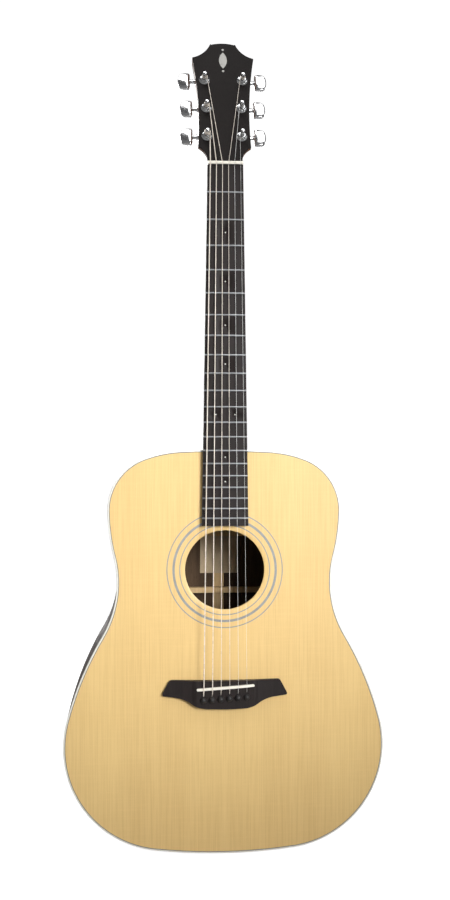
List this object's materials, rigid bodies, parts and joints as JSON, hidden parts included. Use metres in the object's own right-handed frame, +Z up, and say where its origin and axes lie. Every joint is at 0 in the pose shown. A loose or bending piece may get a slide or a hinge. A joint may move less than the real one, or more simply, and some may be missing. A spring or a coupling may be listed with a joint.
{
  "type": "acoustic guitar",
  "caption": "Steel-string acoustic guitar with a hollow bound body, slender neck, fretted fingerboard, pin bridge and geared tuners on a tilted headstock.",
  "frame": {"origin": "tip of the strap button on the tail, midway through the body's depth; the guitar stands upright above it", "axes": "+Z up the neck, -Y the front that the strings face, +X the treble side"},
  "size_m": [0.4042, 0.1347, 1.043],
  "materials": {
    "spruce_top": "satin lacquered spruce with fine straight grain",
    "rosewood": "dark rosewood, satin lacquer",
    "binding": "cream-white binding, polished",
    "purfling": "thin dark grey line",
    "rosette": "grey inlaid rings",
    "block_wood": "plain mahogany, unfinished",
    "lining_wood": "plain lining wood, unfinished",
    "brace_wood": "plain spruce, unfinished",
    "plate_wood": "plain maple, unfinished",
    "paper": "blank cream paper",
    "neck_wood": "satin mahogany",
    "ebony": "black-brown ebony, oiled",
    "fret_metal": "polished nickel silver",
    "dot": "white dot",
    "bone": "cream bone, polished",
    "rod_steel": "plain steel",
    "rod_brass": "plain brass",
    "overlay": "black headstock face, lacquered",
    "inlay": "pearl-like cream inlay",
    "pin_plastic": "black pins",
    "bronze": "bronze winding on steel core",
    "plain_string": "bright plain steel wire",
    "chrome": "mirror chrome",
    "button_metal": "polished cast buttons",
    "strap_plastic": "black strap button"
  },
  "bodies": {
    "root": {"soundboard": "spruce_top", "back": "rosewood", "side_bass": "rosewood", "side_treble": "rosewood", "top_binding": "binding", "back_binding": "binding", "top_purfling": "purfling", "rosette": "rosette", "top_linings": "lining_wood", "back_linings": "lining_wood", "neck_block": "block_wood", "tail_block": "block_wood", "top_braces": "brace_wood", "bridge_plate": "plate_wood", "back_braces": "brace_wood", "back_centre_strip": "brace_wood", "label": "paper", "end_graft": "binding", "strap_button": "strap_plastic", "neck": "neck_wood", "heel_cap": "binding", "fingerboard": "ebony", "frets": "fret_metal", "position_dots": "dot", "nut": "bone", "neck_bolts": "rod_steel", "truss_rod": "rod_steel", "headstock_overlay": "overlay", "headstock_inlay": "inlay", "bridge": "ebony", "saddle": "bone", "string_1": "bronze", "string_2": "bronze", "string_3": "bronze", "string_4": "bronze", "string_5": "plain_string", "string_6": "plain_string", "tuner_housings": "chrome", "tuner_bushings": "chrome", "tuner_washers": "chrome", "tuner_screws": "chrome"},
    "bridge_pin_1": {"bridge_pin_1": "pin_plastic"},
    "bridge_pin_2": {"bridge_pin_2": "pin_plastic"},
    "bridge_pin_3": {"bridge_pin_3": "pin_plastic"},
    "bridge_pin_4": {"bridge_pin_4": "pin_plastic"},
    "bridge_pin_5": {"bridge_pin_5": "pin_plastic"},
    "bridge_pin_6": {"bridge_pin_6": "pin_plastic"},
    "tuner_key_1": {"tuner_key_1": "button_metal"},
    "tuner_key_2": {"tuner_key_2": "button_metal"},
    "tuner_key_3": {"tuner_key_3": "button_metal"},
    "tuner_key_4": {"tuner_key_4": "button_metal"},
    "tuner_key_5": {"tuner_key_5": "button_metal"},
    "tuner_key_6": {"tuner_key_6": "button_metal"},
    "tuner_post_1": {"tuner_post_1": "chrome"},
    "tuner_post_2": {"tuner_post_2": "chrome"},
    "tuner_post_3": {"tuner_post_3": "chrome"},
    "tuner_post_4": {"tuner_post_4": "chrome"},
    "tuner_post_5": {"tuner_post_5": "chrome"},
    "tuner_post_6": {"tuner_post_6": "chrome"},
    "truss_rod_nut": {"truss_rod_nut": "rod_brass"}
  },
  "joints": [
    {"name": "key_1_turn", "type": "hinge", "parent": "root", "child": "tuner_key_1", "pos_m": [-0.0222, -0.02986, 0.91764], "axis": [-1, 0, 0], "continuous": true},
    {"name": "post_1_turn", "type": "hinge", "parent": "root", "child": "tuner_post_1", "pos_m": [-0.0222, -0.05248, 0.91439], "axis": [0, -0.9659, 0.2588], "continuous": true},
    {"name": "key_2_turn", "type": "hinge", "parent": "root", "child": "tuner_key_2", "pos_m": [-0.0223, -0.01951, 0.95628], "axis": [-1, 0, 0], "continuous": true},
    {"name": "post_2_turn", "type": "hinge", "parent": "root", "child": "tuner_post_2", "pos_m": [-0.0223, -0.04212, 0.95302], "axis": [0, -0.9659, 0.2588], "continuous": true},
    {"name": "key_3_turn", "type": "hinge", "parent": "root", "child": "tuner_key_3", "pos_m": [-0.0244, -0.00916, 0.99492], "axis": [-1, 0, 0], "continuous": true},
    {"name": "post_3_turn", "type": "hinge", "parent": "root", "child": "tuner_post_3", "pos_m": [-0.0244, -0.03177, 0.99166], "axis": [0, -0.9659, 0.2588], "continuous": true},
    {"name": "key_4_turn", "type": "hinge", "parent": "root", "child": "tuner_key_4", "pos_m": [0.0244, -0.00916, 0.99492], "axis": [1, 0, 0], "continuous": true},
    {"name": "post_4_turn", "type": "hinge", "parent": "root", "child": "tuner_post_4", "pos_m": [0.0244, -0.03177, 0.99166], "axis": [0, -0.9659, 0.2588], "continuous": true},
    {"name": "key_5_turn", "type": "hinge", "parent": "root", "child": "tuner_key_5", "pos_m": [0.0223, -0.01951, 0.95628], "axis": [1, 0, 0], "continuous": true},
    {"name": "post_5_turn", "type": "hinge", "parent": "root", "child": "tuner_post_5", "pos_m": [0.0223, -0.04212, 0.95302], "axis": [0, -0.9659, 0.2588], "continuous": true},
    {"name": "key_6_turn", "type": "hinge", "parent": "root", "child": "tuner_key_6", "pos_m": [0.0222, -0.02986, 0.91764], "axis": [1, 0, 0], "continuous": true},
    {"name": "post_6_turn", "type": "hinge", "parent": "root", "child": "tuner_post_6", "pos_m": [0.0222, -0.05248, 0.91439], "axis": [0, -0.9659, 0.2588], "continuous": true},
    {"name": "pin_1_pull", "type": "slide", "parent": "root", "child": "bridge_pin_1", "axis": [0, -1, 0], "range_m": [0, 0.022]},
    {"name": "pin_2_pull", "type": "slide", "parent": "root", "child": "bridge_pin_2", "axis": [0, -1, 0], "range_m": [0, 0.022]},
    {"name": "pin_3_pull", "type": "slide", "parent": "root", "child": "bridge_pin_3", "axis": [0, -1, 0], "range_m": [0, 0.022]},
    {"name": "pin_4_pull", "type": "slide", "parent": "root", "child": "bridge_pin_4", "axis": [0, -1, 0], "range_m": [0, 0.022]},
    {"name": "pin_5_pull", "type": "slide", "parent": "root", "child": "bridge_pin_5", "axis": [0, -1, 0], "range_m": [0, 0.022]},
    {"name": "pin_6_pull", "type": "slide", "parent": "root", "child": "bridge_pin_6", "axis": [0, -1, 0], "range_m": [0, 0.022]},
    {"name": "truss_rod_adjust", "type": "hinge", "parent": "root", "child": "truss_rod_nut", "pos_m": [0, -0.0525, 0.48544], "axis": [0, 0, 1], "range_deg": [-360, 360]}
  ],
  "couplings": [
    {"joint": "post_1_turn", "follows": "key_1_turn", "ratio": 0.0625},
    {"joint": "post_2_turn", "follows": "key_2_turn", "ratio": 0.0625},
    {"joint": "post_3_turn", "follows": "key_3_turn", "ratio": 0.0625},
    {"joint": "post_4_turn", "follows": "key_4_turn", "ratio": 0.0625},
    {"joint": "post_5_turn", "follows": "key_5_turn", "ratio": 0.0625},
    {"joint": "post_6_turn", "follows": "key_6_turn", "ratio": 0.0625}
  ]
}
